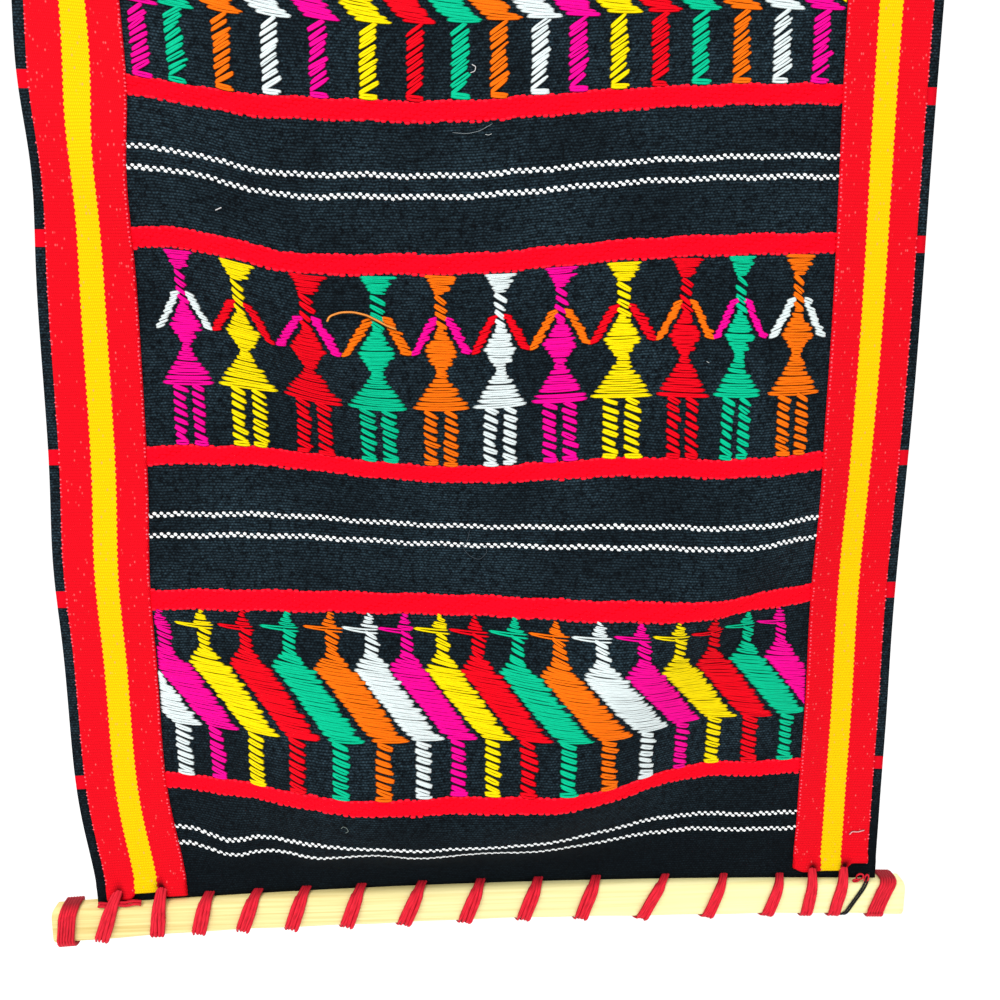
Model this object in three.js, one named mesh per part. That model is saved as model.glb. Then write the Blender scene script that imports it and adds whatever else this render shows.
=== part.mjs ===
// A woven wall hanging: one sheet of black cloth with a ribbon down each side,
// lashed along its lower edge to a wooden rod. Millimetres: x to the right as seen
// from the front, y away from the viewer, z up. The origin is the middle of the top edge.
import * as THREE from "three";

// Clearance between pieces that touch in the real object.
const gap = 0.3;

const cloth = { width: 338, length: 455, thickness: 1.5, hem: 9, hemThickness: 2.2, columns: 25, rows: 38 };
const ribbon = { width: 33, fromEdge: 4, thickness: 1, turnedThickness: 1.8, below: 1, above: 3.5, columns: 4 };
const rod = { length: 362, height: 15.5, depth: 10, round: 3, stations: 12 };
// The rod is bowed upwards and tilted, and the folds take up a little more of the cloth's length (lift).
const rodLine = { halfSpan: 150, lift: 1.4, bow: 3, tilt: 0.8 };
const yarn = { width: 5, thickness: 1.2, loose: 0.1 };
const whipping = { width: 8, turns: 4, thickness: 1.5, valley: 0.6, fromEnd: 7.5 };
// How far each end's whipping slants to the right on the rod's front.
const whippingSlants = { left: -2, right: -5.5 };
const thread = { diameter: 1.6, across: 167, above: 2.5, foot: 152.5 };

// How the cloth is held: straight at the top, free of folds there and along the rod.
const heldTop = 100;
const heldHem = 30;
const rodShapesFrom = 277;

// Turns rows of numbers under named columns into objects.
function table(columns, ...rows) {
  return rows.map((row) => Object.fromEntries(columns.map((name, i) => [name, row[i]])));
}

// Each row is one soft rise of the cloth towards the viewer. across and down place its middle, wide and
// tall are its spread, lean is how far its line falls for each millimetre to the right.
const rises = table(
  ["across", "down", "wide", "tall", "lean", "forward"],
  [-55, 393, 37, 33, 0.2, 24], // belly over the rod, left of the middle
  [25, 405, 33, 15, -0.2, 10], // its lower right end
  [90, 312, 22, 18, -0.7, 12], // short ridge near the right border
  [-60, 330, 110, 21, 0.2, 7], // flat shelf above the belly
  [45, 344, 31, 58, -0.7, 23], // long ridge that falls from right to left
  [-85, 192, 66, 20, 0.7, 16], // fold from the upper left border to the middle
  [115, 320, 16, 90, -0.5, 7], // right border standing forward
  [75, 201, 110, 62, 0.5, 12], // broad swell of the upper half
);

// Each row is one place where the weave hangs lower than it was woven, laid out as the rises are.
const sags = table(
  ["across", "down", "wide", "tall", "lean", "fall"],
  [-35, 104, 70, 90, 0.1, 9],
  [-75, 186, 24, 38, 0.7, 8],
  [-20, 231, 40, 77, 0.7, 5],
  [90, 280, 20, 36, -0.6, 3],
  [-85, 195, 37, 52, -0.1, -6],
  [-15, 401, 48, 36, -0.1, 7],
);

// Each row is one place where a side edge is drawn in; side is -1 on the left and 1 on the right.
const drawnIn = table(
  ["side", "down", "tall", "inward"],
  [-1, 151, 25, 3],
  [-1, 455, 25, 6],
  [1, 265, 80, 4],
);
const drawnFrom = 60;
const drawnTo = 132;

// Each row is one lashing, from the left: where its hole is, how far the hole is above the cloth's
// lower edge, and where the yarn passes under the rod. Its far end comes up to the next hole on the left.
const lashings = table(
  ["hole", "above", "foot"],
  [-159.5, 6.5, -162.5],
  [-142, 6.5, -140.5],
  [-122.5, 1.8, -122],
  [-99.8, 1.8, -104.5],
  [-77, 1.8, -84.5],
  [-53, 1.8, -61.5],
  [-27.5, 1.8, -37.5],
  [-3, 1.8, -11.5],
  [21.5, 1.8, 13.5],
  [46.5, 1.8, 38],
  [77, 1.8, 63.5],
  [102.5, 1.8, 92.5],
  [127, 1.8, 119],
  [140.5, 5.5, 137],
  [154.5, 6, 149],
);
// The leftmost one has no neighbour on its left, so its far end comes up this far beside its hole.
const lastStep = 6;

const { smoothstep, lerp } = THREE.MathUtils;

const bell = (value, middle, spread) => Math.exp(-0.5 * ((value - middle) / spread) ** 2);

function swell(row, across, down) {
  const line = row.down + row.lean * (across - row.across);
  return bell(across, row.across, row.wide) * bell(down, line, row.tall);
}

// How far the rod stands above the place where a flat and level cloth would end.
function rodRise(x) {
  const share = x / rodLine.halfSpan;
  return rodLine.lift + rodLine.bow * (1 - share ** 2) + rodLine.tilt * share;
}

// The middle of the cloth's thickness at a place of the flat cloth.
function hang(across, down) {
  const free = smoothstep(down, 0, heldTop) * smoothstep(cloth.length - down, 0, heldHem);
  const side = Math.sign(across);
  const drawn = drawnIn
    .filter((row) => row.side === side)
    .reduce((sum, row) => sum + row.inward * bell(down, row.down, row.tall), 0);
  const x = across - side * drawn * smoothstep(Math.abs(across), drawnFrom, drawnTo);
  const forward = free * rises.reduce((sum, row) => sum + row.forward * swell(row, across, down), 0);
  const fall = free * sags.reduce((sum, row) => sum + row.fall * swell(row, across, down), 0);
  const lifted = rodRise(x) * smoothstep(down, rodShapesFrom, cloth.length);
  return new THREE.Vector3(x, -forward, lifted - fall - down);
}

// The direction that the cloth's front faces at a place of the flat cloth.
function facing(across, down) {
  const step = 0.5;
  const right = hang(across + step, down).sub(hang(across - step, down));
  const below = hang(across, down + step).sub(hang(across, down - step));
  return below.cross(right).normalize();
}

// A point at a distance in front of the cloth's middle surface, or behind it where negative.
const standOff = (across, down, distance) =>
  hang(across, down).addScaledVector(facing(across, down), distance);

const clothThickness = (down) =>
  Math.min(down, cloth.length - down) <= cloth.hem ? cloth.hemThickness : cloth.thickness;

const evenly = (from, to, steps) => Array.from({ length: steps + 1 }, (_, i) => lerp(from, to, i / steps));

function geometry(points, triangles) {
  return new THREE.BufferGeometry().setFromPoints(points).setIndex(triangles.flat());
}

// A closed sheet from a grid of places, each with the distances of its front and back face. The cells'
// diagonals fall towards the middle, as the folds do.
function sheet(columns, rows, frontOf, backOf) {
  const points = [frontOf, backOf].flatMap((distance) =>
    rows.flatMap((down) => columns.map((across) => standOff(across, down, distance(down)))),
  );
  const front = (i, j) => j * columns.length + i;
  const back = (i, j) => front(i, j) + columns.length * rows.length;
  const lastColumn = columns.length - 1;
  const lastRow = rows.length - 1;
  const triangles = [];
  for (let j = 0; j < lastRow; j++)
    for (let i = 0; i < lastColumn; i++) {
      const corners = [[i, j], [i, j + 1], [i + 1, j + 1], [i + 1, j]];
      const [a, b, c, d] = columns[i] + columns[i + 1] < 0 ? corners : [...corners.slice(1), corners[0]];
      triangles.push(
        [front(...a), front(...b), front(...c)],
        [front(...a), front(...c), front(...d)],
        [back(...a), back(...c), back(...b)],
        [back(...a), back(...d), back(...c)],
      );
    }
  const rim = [
    ...rows.slice(1).map((_, j) => [0, j]),
    ...columns.slice(1).map((_, i) => [i, lastRow]),
    ...rows.slice(1).map((_, j) => [lastColumn, lastRow - j]),
    ...columns.slice(1).map((_, i) => [lastColumn - i, 0]),
  ];
  rim.forEach((here, k) => {
    const next = rim[(k + 1) % rim.length];
    triangles.push(
      [front(...next), front(...here), back(...here)],
      [front(...next), back(...here), back(...next)],
    );
  });
  return geometry(points, triangles);
}

// A closed skin over rings of points that are ordered alike, capped at both ends unless it is a loop.
function skin(rings, loop = false) {
  const count = rings[0].length;
  const at = (ring, i) => (ring % rings.length) * count + (i % count);
  const triangles = [];
  for (let ring = 0; ring < rings.length - (loop ? 0 : 1); ring++)
    for (let i = 0; i < count; i++)
      triangles.push(
        [at(ring, i), at(ring, i + 1), at(ring + 1, i)],
        [at(ring, i + 1), at(ring + 1, i + 1), at(ring + 1, i)],
      );
  const last = rings.length - 1;
  for (let i = 1; !loop && i < count - 1; i++)
    triangles.push([at(0, 0), at(0, i + 1), at(0, i)], [at(last, 0), at(last, i), at(last, i + 1)]);
  return geometry(rings.flat(), triangles);
}

// The rod's own height at a place along it: the cloth's lower edge stands a gap above its top.
const rodAxis = (x) => rodRise(x) - cloth.length - gap - rod.height / 2;

// The rod's rounded outline in depth (y) and height (z), grown by an offset, from the middle of its top.
function rodOutline(offset) {
  const [y, z, r] = [rod.depth / 2 - rod.round, rod.height / 2 - rod.round, rod.round + offset];
  const quarter = Math.PI / 2;
  return new THREE.Path()
    .moveTo(0, z + r)
    .absarc(-y, z, r, quarter, 2 * quarter)
    .absarc(-y, -z, r, 2 * quarter, 3 * quarter)
    .absarc(y, -z, r, 3 * quarter, 4 * quarter)
    .absarc(y, z, r, 0, quarter)
    .getPoints(2)
    .filter((point, i, all) => i === 0 || point.distanceTo(all[i - 1]) > 1e-6);
}

// The ribbons lie between these lines of the flat cloth, and end short of its upper and lower edge.
const ribbonOuter = cloth.width / 2 - ribbon.fromEdge;
const ribbonInner = ribbonOuter - ribbon.width;
const ribbonEnd = cloth.length - ribbon.above;

// The rows and columns of the flat cloth that its sheet and the ribbons share, so that they fit.
const hemStep = 1.5;
const rows = [
  0,
  ribbon.below,
  cloth.hem,
  ...evenly(cloth.hem + hemStep, cloth.length - cloth.hem - hemStep, cloth.rows),
  cloth.length - cloth.hem,
  ribbonEnd,
  cloth.length,
];
const leftColumns = evenly(-ribbonOuter, -ribbonInner, ribbon.columns);
const rightColumns = evenly(ribbonInner, ribbonOuter, ribbon.columns);
const middleColumns = evenly(-ribbonInner, ribbonInner, cloth.columns).slice(1, -1);

function makeCloth() {
  const columns = [-cloth.width / 2, ...leftColumns, ...middleColumns, ...rightColumns, cloth.width / 2];
  return sheet(columns, rows, (down) => clothThickness(down) / 2, (down) => -clothThickness(down) / 2);
}

// One border ribbon on the cloth's front, its lower end turned under to nearly twice its thickness.
const ribbonThickness = (down) => (down >= cloth.length - cloth.hem ? ribbon.turnedThickness : ribbon.thickness);
const ribbonBack = (down) => clothThickness(down) / 2 + gap;
const ribbonFront = (down) => ribbonBack(down) + ribbonThickness(down);
const makeRibbon = (columns) => sheet(columns, rows.slice(1, -1), ribbonFront, ribbonBack);

function makeRod() {
  const outline = rodOutline(0);
  const stations = evenly(-rod.length / 2, rod.length / 2, rod.stations);
  return skin(stations.map((x) => outline.map((p) => new THREE.Vector3(x, p.x, rodAxis(x) + p.y))));
}

// The distance from the cloth's middle surface to its bare front, or to a ribbon's front where one lies.
function frontFace(across, down) {
  const covered = Math.abs(across) > ribbonInner && Math.abs(across) < ribbonOuter && down < ribbonEnd;
  return covered ? ribbonFront(down) : clothThickness(down) / 2;
}

// How yarn turns over the rod's upper edges: how far above the rod it bends, and below its rounding it
// lies flat.
const shoulderRise = 1.6;
const shoulderDrop = 1;

// A line out of a hole in the cloth's front, over the rod's face and under its lower front edge. Depths
// and heights are measured from the rod's axis.
function overRod(hole, above, clear) {
  const down = cloth.length - above;
  const start = standOff(hole, down, frontFace(hole, down) + gap);
  const front = -(rod.depth / 2 + clear);
  const high = start.z - rodAxis(start.x);
  const turn = Math.min(high - shoulderDrop, rod.height / 2 + shoulderRise);
  const line = new THREE.Path()
    .moveTo(start.y, high)
    .quadraticCurveTo(front, turn, front, rod.height / 2 - rod.round - shoulderDrop)
    .lineTo(front, rod.round - rod.height / 2)
    .quadraticCurveTo(front, -rod.height / 2 - clear, rod.round - rod.depth / 2, -rod.height / 2 - clear);
  return { start, line };
}

// A flat or round strand along a line in depth and height, with a function for its place across. It leaves
// the cloth squarely, and may come back to it so.
function strand(line, acrossAt, halfWidth, halfThickness, comesBack) {
  const points = line.getPoints(3).filter((p, i, all) => i === 0 || p.distanceTo(all[i - 1]) > 1e-6);
  const run = points.reduce((sums, p, i) => [...sums, i ? sums[i - 1] + p.distanceTo(points[i - 1]) : 0], []);
  const path = points.map((p, i) => {
    const x = acrossAt(run[i] / run.at(-1));
    return new THREE.Vector3(x, p.x, rodAxis(x) + p.y);
  });
  const rings = path.map((point, i) => {
    const square = i === 0 || (comesBack && i === path.length - 1);
    const along = square
      ? new THREE.Vector3(0, -1, 0)
      : path[Math.min(i + 1, path.length - 1)].clone().sub(path[i - 1]);
    const out = new THREE.Vector3(0, along.z, -along.y).normalize();
    const wide = out.clone().cross(along).normalize();
    return evenly(0, 2 * Math.PI, 6)
      .slice(1)
      .map((turn) =>
        point
          .clone()
          .addScaledVector(wide, halfWidth * Math.cos(turn))
          .addScaledVector(out, (halfThickness * Math.sin(turn)) / Math.sin(Math.PI / 3)),
      );
  });
  return skin(rings);
}

function makeLashing(row, next) {
  const clear = gap + yarn.loose + yarn.thickness / 2;
  const { start, line } = overRod(row.hole, row.above, clear);
  const nextDown = cloth.length - next.above;
  const end = standOff(next.hole, nextDown, -clothThickness(nextDown) / 2 - gap);
  const back = rod.depth / 2 + clear;
  const half = rod.height / 2;
  const atFoot = line.getLength();
  line
    .lineTo(rod.depth / 2 - rod.round, -half - clear)
    .quadraticCurveTo(back, -half - clear, back, rod.round - half)
    .lineTo(back, half - rod.round - shoulderDrop)
    .quadraticCurveTo(back, half + shoulderRise, end.y, end.z - rodAxis(end.x));
  const footShare = atFoot / line.getLength();
  const across = (share) =>
    share < footShare
      ? lerp(start.x, row.foot, share / footShare)
      : lerp(row.foot, end.x, (share - footShare) / (1 - footShare));
  return strand(line, across, yarn.width / 2, yarn.thickness / 2, true);
}

// Yarn wound round the rod's end just past the cloth. It slants to the left down to half the rod's height.
function makeWhipping(side, slant) {
  const middle = side * (rod.length / 2 - whipping.fromEnd);
  const inner = rodOutline(gap);
  const outer = rodOutline(gap + whipping.thickness);
  const rings = inner.slice(0, -1).map((low, i) => {
    const high = outer[i];
    const lean = slant * Math.min(1, 1 - low.y / (rod.height / 2));
    const place = (offset, share) => {
      const x = middle + lean + offset;
      return new THREE.Vector3(x, lerp(low.x, high.x, share), rodAxis(x) + lerp(low.y, high.y, share));
    };
    const ridge = evenly(0, whipping.turns, whipping.turns * 2).map((turn) =>
      place((turn / whipping.turns - 0.5) * whipping.width, lerp(whipping.valley, 1, Math.sin(Math.PI * (turn % 1)))),
    );
    return [place(whipping.width / 2, 0), ...ridge.reverse(), place(-whipping.width / 2, 0)];
  });
  return skin(rings, true);
}

function makeThread() {
  const clear = gap + thread.diameter / 2;
  const { start, line } = overRod(thread.across, thread.above, clear);
  const across = (share) => lerp(start.x, thread.foot, share);
  return strand(line, across, thread.diameter / 2, thread.diameter / 2, false);
}

const cottonBlack = new THREE.MeshStandardMaterial({ color: 0x14191c, roughness: 0.95 });
const ribbonRed = new THREE.MeshStandardMaterial({ color: 0xd8121f, roughness: 0.85 });
const yarnRed = new THREE.MeshStandardMaterial({ color: 0xc80f22, roughness: 0.85 });
const paleWood = new THREE.MeshStandardMaterial({ color: 0xe8d6a0, roughness: 0.6 });

const hanging = new THREE.Group();

function add(name, shape, material) {
  const mesh = new THREE.Mesh(shape, material);
  mesh.name = name;
  mesh.geometry.computeVertexNormals();
  hanging.add(mesh);
}

add("cloth", makeCloth(), cottonBlack);
add("ribbon_left", makeRibbon(leftColumns), ribbonRed);
add("ribbon_right", makeRibbon(rightColumns), ribbonRed);
add("rod", makeRod(), paleWood);
lashings.forEach((row, i) => {
  const next = lashings[i - 1] ?? { hole: row.hole - lastStep, above: row.above };
  add(`lashing_${String(i + 1).padStart(2, "0")}`, makeLashing(row, next), yarnRed);
});
add("whipping_left", makeWhipping(-1, whippingSlants.left), yarnRed);
add("whipping_right", makeWhipping(1, whippingSlants.right), yarnRed);
add("thread_tail", makeThread(), cottonBlack);

export default hanging;
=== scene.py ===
from math import pi, radians

import bpy
import numpy as np
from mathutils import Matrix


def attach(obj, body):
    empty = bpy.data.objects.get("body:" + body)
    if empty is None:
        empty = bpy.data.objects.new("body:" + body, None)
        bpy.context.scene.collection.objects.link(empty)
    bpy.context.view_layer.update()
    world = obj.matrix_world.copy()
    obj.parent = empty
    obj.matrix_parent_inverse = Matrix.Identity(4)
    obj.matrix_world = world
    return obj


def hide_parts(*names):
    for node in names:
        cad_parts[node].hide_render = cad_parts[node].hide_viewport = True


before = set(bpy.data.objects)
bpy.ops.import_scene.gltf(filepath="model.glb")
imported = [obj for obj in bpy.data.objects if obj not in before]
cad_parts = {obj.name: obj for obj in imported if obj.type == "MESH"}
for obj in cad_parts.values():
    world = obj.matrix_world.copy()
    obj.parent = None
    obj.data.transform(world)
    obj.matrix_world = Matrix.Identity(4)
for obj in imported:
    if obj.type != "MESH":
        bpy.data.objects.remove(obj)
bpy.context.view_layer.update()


# The camera stands 39 cm in front of the cloth and looks slightly down and to the right, as the photograph
# was taken. How the cloth's bands narrow downwards gave its place and its 53 degree view.
def put_up(name, data):
    """A new object in the scene that holds this mesh, camera or light."""
    piece = bpy.data.objects.new(name, data)
    bpy.context.scene.collection.objects.link(piece)
    return piece


photo_lens = bpy.data.cameras.new("photo_lens")
photo_lens.sensor_width = 36
photo_lens.lens = 36
photographer = put_up("photographer", photo_lens)
photographer.location = (-0.0193, -0.3899, -0.213)
photographer.rotation_euler = (radians(79.53), radians(-0.28), radians(-3.39))
bpy.context.scene.camera = photographer


# The studio is a white cove: a pale floor well below the rod, white surroundings that light the cloth
# evenly, and one wide soft light from the upper left for the folds.
def linear(code):
    """The linear colour of an sRGB hex code."""
    channels = [int(code[i:i + 2], 16) / 255 for i in (1, 3, 5)]
    return [c / 12.92 if c <= 0.04045 else ((c + 0.055) / 1.055) ** 2.4 for c in channels] + [1]


def add(tree, kind, links={}, **settings):
    """Adds a node with its settings; links gives its inputs by name or number, as values or as sources."""
    node = tree.nodes.new(kind)
    for name, value in settings.items():
        setattr(node, name, value)
    for name, value in links.items():
        if isinstance(value, bpy.types.Node):
            value = value.outputs[0]
        if isinstance(value, bpy.types.NodeSocket):
            tree.links.new(value, node.inputs[name])
        else:
            node.inputs[name].default_value = value
    return node


def new_finish(name):
    """An empty material and its node tree."""
    material = bpy.data.materials.new(name)
    material.use_nodes = True
    material.node_tree.nodes.clear()
    return material, material.node_tree


def surface(tree, links):
    """Ends a material with its surface shader, which has these inputs."""
    shader = add(tree, "ShaderNodeBsdfPrincipled", links)
    add(tree, "ShaderNodeOutputMaterial", {"Surface": shader})


# Seamless white paper: quite matt, with a faint tooth.
floor_paper, tree = new_finish("white_paper_floor")
speckle = add(tree, "ShaderNodeTexNoise", {"Scale": 400})
bump = add(tree, "ShaderNodeBump", {"Height": speckle, "Strength": 0.1, "Distance": 0.0002})
surface(tree, {"Base Color": linear("#ffffff"), "Normal": bump, "Roughness": 0.9})
floor_mesh = bpy.data.meshes.new("studio_floor")
floor_mesh.from_pydata(
    [(-4, -4, -0.8), (4, -4, -0.8), (4, 4, -0.8), (-4, 4, -0.8)], [], [(0, 1, 2, 3)]
)
floor_mesh.materials.append(floor_paper)
put_up("studio_floor", floor_mesh)

cove = bpy.data.worlds.new("white_cove")
cove.use_nodes = True
cove.node_tree.nodes["Background"].inputs["Color"].default_value = (1, 1, 1, 1)
cove.node_tree.nodes["Background"].inputs["Strength"].default_value = 1.08
bpy.context.scene.world = cove

softbox = bpy.data.lights.new("softbox", "AREA")
softbox.shape = "RECTANGLE"
softbox.size = 0.9
softbox.size_y = 0.7
softbox.energy = 12
key_light = put_up("key_light", softbox)
key_light.location = (-0.7, -0.9, 0.75)
key_light.rotation_euler = (radians(52), 0, radians(-38))

bpy.context.scene.view_settings.view_transform = "Standard"


# The cloth is one hand-woven sheet of black cotton with weft-faced red bands. It hangs in soft folds from
# its straight top edge, and a rod shapes its lower edge. All lengths on it are millimetres of flat cloth.
cloth_width = 338
cloth_length = 455
hem = 9
full_folds_below = 100  # the folds grow from the straight top edge to here
held_by_rod = 30  # and die out over this length above the rod
rod_shapes_from = 277  # from here down the cloth takes up the rod's bow and tilt
rises = np.array([  # across, down, wide, tall, lean, forward: where the cloth swells towards the viewer
    [-55, 393, 37, 33, 0.2, 24],
    [25, 405, 33, 15, -0.2, 10],
    [90, 312, 22, 18, -0.7, 12],
    [-60, 330, 110, 21, 0.2, 7],
    [45, 344, 31, 58, -0.7, 23],
    [-85, 192, 66, 20, 0.7, 16],
    [115, 320, 16, 90, -0.5, 7],
    [75, 201, 110, 62, 0.5, 12],
])
sags = np.array([  # across, down, wide, tall, lean, fall: where the weave hangs lower than it was woven
    [-35, 104, 70, 90, 0.1, 9],
    [-75, 186, 24, 38, 0.7, 8],
    [-20, 231, 40, 77, 0.7, 5],
    [90, 280, 20, 36, -0.6, 3],
    [-85, 195, 37, 52, -0.1, -6],
    [-15, 401, 48, 36, -0.1, 7],
    [-132, 426, 7, 14, 0, -1.4],
    [-108, 431, 8, 14, 0, 4.6],
    [-73, 434, 7, 8, 0, 2.2],
    [-45, 432, 9, 5, 0, -1.9],
    [-5, 432, 12, 5, 0, -1.7],
])
drawn_in = [(-1, 151, 25, 3), (-1, 455, 25, 6), (1, 265, 80, 4)]  # side, down, tall, inward


def ease(value, low, high):
    """0 below low and 1 above high, with a smooth step between them."""
    share = np.clip((value - low) / (high - low), 0, 1)
    return share * share * (3 - 2 * share)


def bell(value, middle, spread):
    return np.exp(-0.5 * ((value - middle) / spread) ** 2)


def swell(rows, across, down):
    """The sum of the rows' soft bells at each place of the flat cloth."""
    total = np.zeros(np.broadcast(across, down).shape)
    for middle, low, wide, tall, lean, amount in rows:
        line = low + lean * (across - middle)
        total += amount * bell(across, middle, wide) * bell(down, line, tall)
    return total


def rod_rise(x):
    """How far the bowed and slightly tilted rod stands above where a flat cloth would end."""
    return 1.4 + 3 * (1 - (x / 150) ** 2) + 0.8 * x / 150


def hang(across, down):
    """The middle of the cloth's thickness at a place of the flat cloth, in millimetres."""
    free = ease(down, 0, full_folds_below) * ease(cloth_length - down, 0, held_by_rod)
    drawn = np.zeros(np.broadcast(across, down).shape)
    for side, low, tall, inward in drawn_in:
        drawn += np.where(np.sign(across) == side, inward * bell(down, low, tall), 0)
    x = across - np.sign(across) * drawn * ease(np.abs(across), 60, 132)
    lifted = rod_rise(x) * ease(down, rod_shapes_from, cloth_length)
    height = lifted - free * swell(sags, across, down) - down
    return np.stack([x, -free * swell(rises, across, down), height], axis=-1)


def drape(flat):
    """Takes points (across, up, out) of the flat cloth to their place in the folds, in metres."""
    across, down, out = flat[:, 0], -flat[:, 1], flat[:, 2]
    right = hang(across + 0.5, down) - hang(across - 0.5, down)
    below = hang(across, down + 0.5) - hang(across, down - 0.5)
    facing = np.cross(below, right)
    facing /= np.linalg.norm(facing, axis=1, keepdims=True)
    return (hang(across, down) + facing * out[:, None]) / 1000


def keep_flat_place(mesh, flat):
    """Stores each point's place on the flat cloth, which the weave's pattern follows."""
    place = mesh.attributes.new("flat_place", "FLOAT_VECTOR", "POINT")
    place.data.foreach_set("vector", np.asarray(flat, np.float32).ravel())


def belongs(piece, slot, *nodes):
    """Hangs a finished piece on the root and hides the nodes that it stands for. Its slot is not used."""
    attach(piece, "root")
    if nodes:
        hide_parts(*nodes)


def closed_sheet(name, across, down, front, back, material, shape=lambda x, s: s):
    """A closed sheet of cloth over a grid of the flat cloth. front and back give its faces' distances."""
    x, s = np.meshgrid(across, down)
    faces = [np.stack([x, -shape(x, s), face(x, s)], axis=-1).reshape(-1, 3) for face in (front, back)]
    flat = np.concatenate(faces)
    columns, rows = len(across), len(down)
    index = np.arange(columns * rows).reshape(rows, columns)
    corners = [index[:-1, :-1], index[1:, :-1], index[1:, 1:], index[:-1, 1:]]
    cells = np.stack(corners, axis=-1).reshape(-1, 4)
    rim = np.concatenate([index[:-1, 0], index[-1, :-1], index[:0:-1, -1], index[0, :0:-1]])
    ahead = np.roll(rim, -1)
    behind = columns * rows
    edge = np.stack([ahead, rim, rim + behind, ahead + behind], axis=-1)
    quads = np.concatenate([cells, cells[:, ::-1] + behind, edge])
    mesh = bpy.data.meshes.new(name)
    mesh.from_pydata(drape(flat), [], quads.tolist())
    mesh.shade_smooth()
    keep_flat_place(mesh, flat)
    mesh.materials.append(material)
    return put_up(name, mesh)


# down to the upper and the lower edge of each red band
red_bands = [(49, 57), (127, 135), (181.5, 189.5), (263.6, 271.2), (318.5, 327), (397, 404.5)]
weft_pitch = 1.1  # from one row of weft to the next
float_period = 2.64  # from one weft float to the next in its row, two warp ends

# Hand-woven cotton, vat-dyed black: matt, with a faint blue-grey painted highlight on uneven weft and
# rubbed patches.
woven_cotton, tree = new_finish("black_handwoven_cotton")
place = add(tree, "ShaderNodeAttribute", attribute_name="flat_place")
axes = add(tree, "ShaderNodeSeparateXYZ", {0: place.outputs["Vector"]})
waver = add(tree, "ShaderNodeTexNoise", {"Vector": place.outputs["Vector"], "Scale": 0.2, "Detail": 2})
up = add(tree, "ShaderNodeMath", {0: waver, 1: 1.5, 2: axes.outputs["Y"]}, operation="MULTIPLY_ADD")
weft = add(tree, "ShaderNodeMath", {0: up, 1: weft_pitch}, operation="DIVIDE")
weft_row = add(tree, "ShaderNodeMath", {0: weft}, operation="FLOOR")
across_yarn = add(tree, "ShaderNodeMath", {0: weft, 1: 0.5}, operation="PINGPONG")
warp = add(tree, "ShaderNodeMath", {0: axes.outputs["X"], 1: 2 / float_period}, operation="MULTIPLY")
shifted = add(tree, "ShaderNodeMath", {0: weft_row, 1: 0.5, 2: warp}, operation="MULTIPLY_ADD")
along_yarn = add(tree, "ShaderNodeMath", {0: shifted, 1: 0.5}, operation="PINGPONG")
thread_top = add(tree, "ShaderNodeMath", {0: along_yarn, 1: 0.6, 2: 0.14}, operation="MULTIPLY_ADD")
crossing = add(tree, "ShaderNodeMath", {0: across_yarn, 1: thread_top}, operation="MULTIPLY")
slubs = add(tree, "ShaderNodeTexNoise", {
    "Vector": place.outputs["Vector"], "Scale": 0.7, "Detail": 3, "Roughness": 0.7,
})
slub_light = add(tree, "ShaderNodeMapRange", {"Value": slubs, 1: 0.35, 2: 0.7})
float_top = add(tree, "ShaderNodeMath", {0: slub_light, 1: crossing}, operation="MULTIPLY")
patches = add(tree, "ShaderNodeTexNoise", {"Vector": place.outputs["Vector"], "Scale": 0.022, "Detail": 4})
worn = add(tree, "ShaderNodeMapRange", {"Value": patches, 1: 0.38, 2: 0.62, 3: 2, 4: 4})
# Painted shade: the weft's highlight fades towards the lower edge, where the cloth turns down away from the
# light.
lower_edge_painted_shade = add(tree, "ShaderNodeMapRange", {"Value": axes.outputs["Y"], 1: -440, 2: -385, 3: 0.2, 4: 1})
wear_and_painted_shade = add(tree, "ShaderNodeMath", {0: worn, 1: lower_edge_painted_shade}, operation="MULTIPLY")
painted_weft_highlight = add(tree, "ShaderNodeMath", {0: wear_and_painted_shade, 1: float_top}, operation="MULTIPLY", use_clamp=True)
# The lighter blue-grey is the painted highlight on the weft tops.
black = add(tree, "ShaderNodeMix", {0: painted_weft_highlight, 6: linear("#05090d"), 7: linear("#425c6a")}, data_type="RGBA")
in_band = None
for top, bottom in red_bands:
    middle = -(top + bottom) / 2
    half_band = (bottom - top) / 2 - 0.8
    here = add(tree, "ShaderNodeMath", {0: axes.outputs["Y"], 1: middle, 2: half_band}, operation="COMPARE")
    in_band = add(tree, "ShaderNodeMath", {0: in_band, 1: here}, operation="ADD") if in_band else here
woven = add(
    tree, "ShaderNodeMix", {0: in_band, 6: black.outputs[2], 7: linear("#d8041c")}, data_type="RGBA"
)
fuzz = add(tree, "ShaderNodeTexNoise", {"Vector": place.outputs["Vector"], "Scale": 4, "Detail": 3})
relief = add(tree, "ShaderNodeMath", {0: fuzz, 1: 0.5, 2: float_top}, operation="MULTIPLY_ADD")
bump = add(tree, "ShaderNodeBump", {"Height": relief, "Strength": 0.7, "Distance": 0.0004})
surface(tree, {
    "Base Color": woven.outputs[2], "Normal": bump, "Roughness": 0.85, "Specular IOR Level": 0.05,
})


def half_thickness(across, down):
    """Half of the cloth's thickness: the hems at its top and bottom are turned and thicker."""
    edge = np.minimum(down, cloth_length - down)
    return 0.75 + 0.35 * (1 - ease(edge, hem - 1, hem + 1))


def cloth_back(across, down):
    return -half_thickness(across, down)


columns = np.linspace(-cloth_width / 2, cloth_width / 2, 136)
rows = np.linspace(0, cloth_length, 183)
cloth = closed_sheet("woven_cloth", columns, rows, half_thickness, cloth_back, woven_cotton)
belongs(cloth, "black_cotton", "cloth")


# The red bands are weft-faced: their floats are packed so close that they stand proud of the black and
# end in small teeth. The white pin lines are two rows of single floats each.
def baked(piece):
    """Turns the modifiers' result into the piece's own mesh."""
    result = bpy.data.meshes.new_from_object(piece.evaluated_get(bpy.context.evaluated_depsgraph_get()))
    piece.modifiers.clear()
    piece.data = result


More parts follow.
